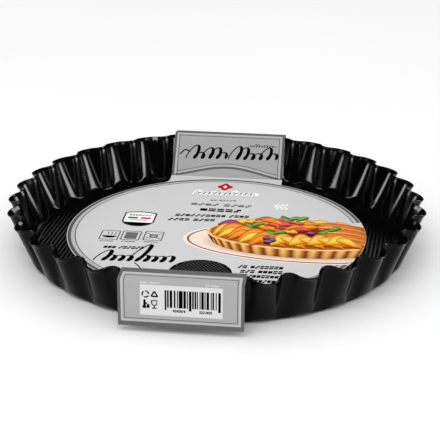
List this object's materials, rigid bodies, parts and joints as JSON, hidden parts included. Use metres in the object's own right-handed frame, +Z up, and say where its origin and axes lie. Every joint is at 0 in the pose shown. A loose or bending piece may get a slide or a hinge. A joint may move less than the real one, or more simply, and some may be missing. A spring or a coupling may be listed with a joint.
{
  "type": "tart pan",
  "caption": "Round shallow non-stick tart pan with a deeply fluted flaring wall, in a folded card sleeve: a disc in the pan and a panel over each side of the rim.",
  "frame": {"origin": "centre of the pan's flat base, on the ground", "axes": "+Z up, -Y towards the sleeve's front panel, +X to the right seen from the front"},
  "size_m": [0.2794, 0.2822, 0.0357],
  "materials": {
    "coated_sheet": "satin black non-stick coating on pressed steel sheet",
    "card_face": "coated printing card, pale grey print, soft sheen",
    "card_panel": "coated printing card, mid grey print, soft sheen",
    "card_border": "coated printing card, dark grey print, soft sheen"
  },
  "bodies": {
    "pan": {"pan": "coated_sheet"},
    "sleeve": {"sleeve_disc": "card_face", "sleeve_front_inner_panel": "card_panel", "sleeve_front_top_strip": "card_border", "sleeve_rear_inner_panel": "card_panel", "sleeve_rear_top_strip": "card_border"},
    "front_panel": {"sleeve_front_outer_panel": "card_panel"},
    "rear_panel": {"sleeve_rear_outer_panel": "card_panel"}
  },
  "joints": [
    {"name": "sleeve_lift", "type": "slide", "parent": "pan", "child": "sleeve", "axis": [0, 0, 1], "range_m": [0, 0.06]},
    {"name": "front_panel_swing", "type": "hinge", "parent": "sleeve", "child": "front_panel", "pos_m": [0, -0.14065, 0.03389], "axis": [-1, 0, 0], "range_deg": [0, 90]},
    {"name": "rear_panel_swing", "type": "hinge", "parent": "sleeve", "child": "rear_panel", "pos_m": [0, 0.14065, 0.032], "axis": [1, 0, 0], "range_deg": [0, 90]}
  ]
}
